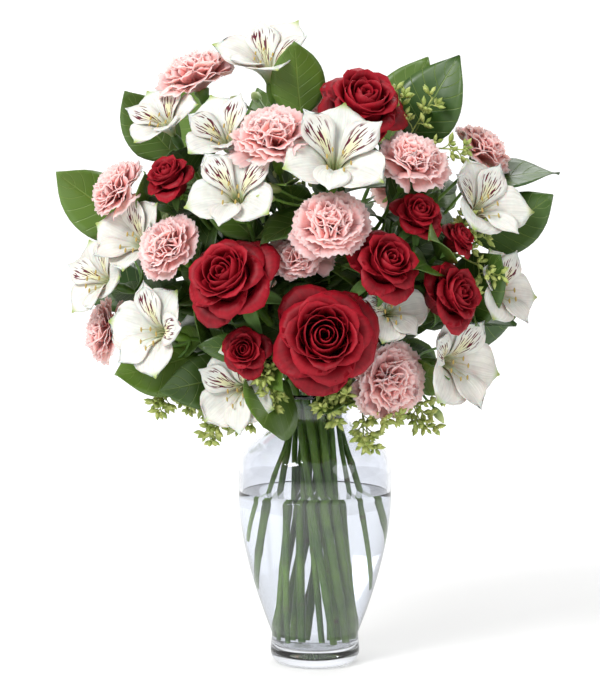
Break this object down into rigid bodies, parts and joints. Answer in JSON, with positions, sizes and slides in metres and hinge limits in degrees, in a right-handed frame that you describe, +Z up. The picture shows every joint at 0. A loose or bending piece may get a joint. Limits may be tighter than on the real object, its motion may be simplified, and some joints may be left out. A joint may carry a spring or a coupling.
{
  "type": "mixed rose bouquet in a glass vase",
  "caption": "Clear glass urn vase of water holding a domed bouquet of red roses, spray roses, pink carnations and white alstroemeria with leaves and seeded greenery",
  "frame": {"origin": "middle of the flat underside of the vase's foot", "axes": "+Z up along the vase's axis, -Y towards the bouquet's best side, +X to the right of it"},
  "size_m": [0.3422, 0.2613, 0.4308],
  "materials": {
    "glass": "polished",
    "water": "gloss",
    "rose_petals": "satin",
    "carnation_petals": "matte",
    "alstroemeria_petals": "satin",
    "stem_green": "satin",
    "leaf_green": "satin",
    "seed_green": "satin"
  },
  "bodies": {
    "root": {"vase": "glass", "rose_left": "rose_petals", "rose_front": "rose_petals", "rose_top": "rose_petals", "rose_back": "rose_petals", "spray_rose_upper_right": "rose_petals", "spray_rose_bud": "rose_petals", "spray_rose_middle": "rose_petals", "spray_rose_lower_right": "rose_petals", "spray_rose_left": "rose_petals", "spray_rose_low": "rose_petals", "spray_rose_back_left": "rose_petals", "spray_rose_back_right": "rose_petals", "carnation_top_left": "carnation_petals", "carnation_top": "carnation_petals", "carnation_upper_right": "carnation_petals", "carnation_right": "carnation_petals", "carnation_back_top": "carnation_petals", "carnation_left": "carnation_petals", "carnation_middle_left": "carnation_petals", "carnation_low_left": "carnation_petals", "carnation_back_left": "carnation_petals", "carnation_middle": "carnation_petals", "carnation_inner": "carnation_petals", "carnation_low_right": "carnation_petals", "carnation_back_right": "carnation_petals", "alstroemeria_top": "alstroemeria_petals", "alstroemeria_upper_left": "alstroemeria_petals", "alstroemeria_inner_left": "alstroemeria_petals", "alstroemeria_left": "alstroemeria_petals", "alstroemeria_far_left": "alstroemeria_petals", "alstroemeria_middle_left": "alstroemeria_petals", "alstroemeria_middle": "alstroemeria_petals", "alstroemeria_low_left": "alstroemeria_petals", "alstroemeria_bottom": "alstroemeria_petals", "alstroemeria_back_left": "alstroemeria_petals", "alstroemeria_right": "alstroemeria_petals", "alstroemeria_inner_right": "alstroemeria_petals", "alstroemeria_far_right": "alstroemeria_petals", "alstroemeria_low_right": "alstroemeria_petals", "rose_stem_left": "stem_green", "rose_stem_front": "stem_green", "rose_stem_top": "stem_green", "rose_stem_back": "stem_green", "spray_rose_stem_right": "stem_green", "spray_rose_stem_left": "stem_green", "carnation_stem_upper": "stem_green", "carnation_stem_left": "stem_green", "carnation_stem_right": "stem_green", "alstroemeria_stem_left": "stem_green", "alstroemeria_stem_middle": "stem_green", "alstroemeria_stem_right": "stem_green", "leaf_sprig_right": "leaf_green", "leaf_sprig_left": "leaf_green", "leaf_sprig_front": "leaf_green", "leaf_sprig_back": "leaf_green", "seed_sprig_left": "seed_green", "seed_sprig_right": "seed_green", "seed_sprig_back": "seed_green", "water": "water"}
  },
  "joints": []
}
